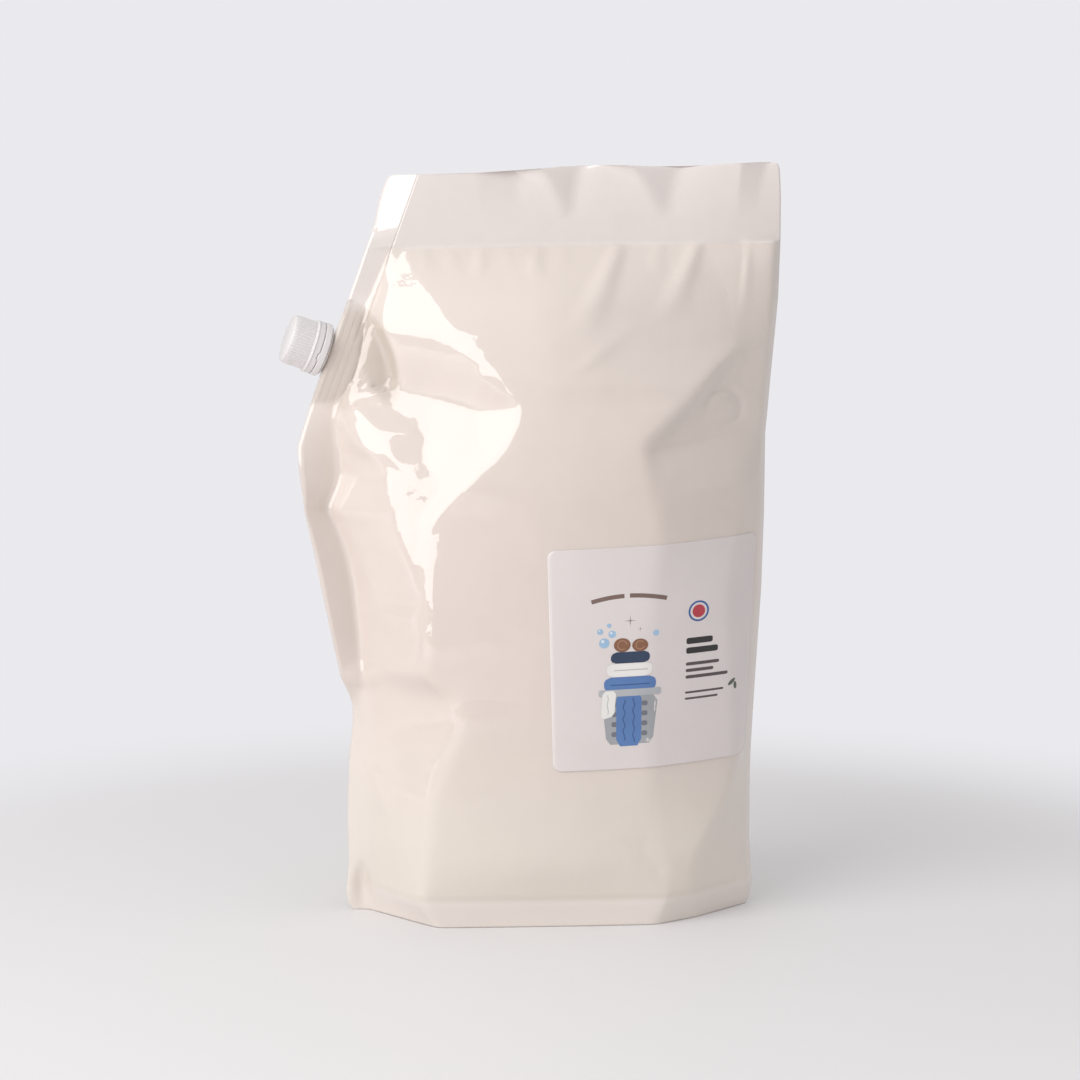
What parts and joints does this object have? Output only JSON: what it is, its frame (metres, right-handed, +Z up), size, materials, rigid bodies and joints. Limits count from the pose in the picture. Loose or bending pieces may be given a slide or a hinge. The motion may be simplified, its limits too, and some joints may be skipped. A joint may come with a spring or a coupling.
{
  "type": "spout pouch",
  "caption": "Stand-up film pouch, filled and sealed, with a bottom gusset, a slanted corner with a welded side spout and a ribbed screw cap, and a rectangular label on the front.",
  "frame": {"origin": "middle of the flat patch of the bottom gusset that the pouch stands on, on the pouch's mid-plane", "axes": "+Z up through the pouch, -Y out of the front that carries the label, +X to the pouch's right as seen from the front, away from the spout"},
  "size_m": [0.2614, 0.1111, 0.3921],
  "materials": {
    "film": "glossy cream-white laminate film, slightly milky",
    "label": "satin grey-white film label with simple coloured shapes",
    "spout_plastic": "natural white polyethylene, satin",
    "cap_plastic": "white polyethylene, satin",
    "liner": "white foam sealing disc"
  },
  "bodies": {
    "pouch_body": {"pouch": "film", "label": "label", "spout": "spout_plastic", "tamper_band": "cap_plastic"},
    "liner_body": {"cap_liner": "liner"},
    "cap_body": {"cap": "cap_plastic"}
  },
  "joints": [
    {"name": "cap_lift", "type": "slide", "parent": "pouch_body", "child": "liner_body", "axis": [-0.9287, -0.1564, 0.3362], "range_m": [0, 0.008]},
    {"name": "cap_turn", "type": "hinge", "parent": "liner_body", "child": "cap_body", "pos_m": [-0.12816, -0.00503, 0.29959], "axis": [-0.9287, -0.1564, 0.3362], "range_deg": [0, 720]}
  ],
  "couplings": [
    {"joint": "cap_lift", "follows": "cap_turn", "m_per_rad": 0.00063662}
  ]
}
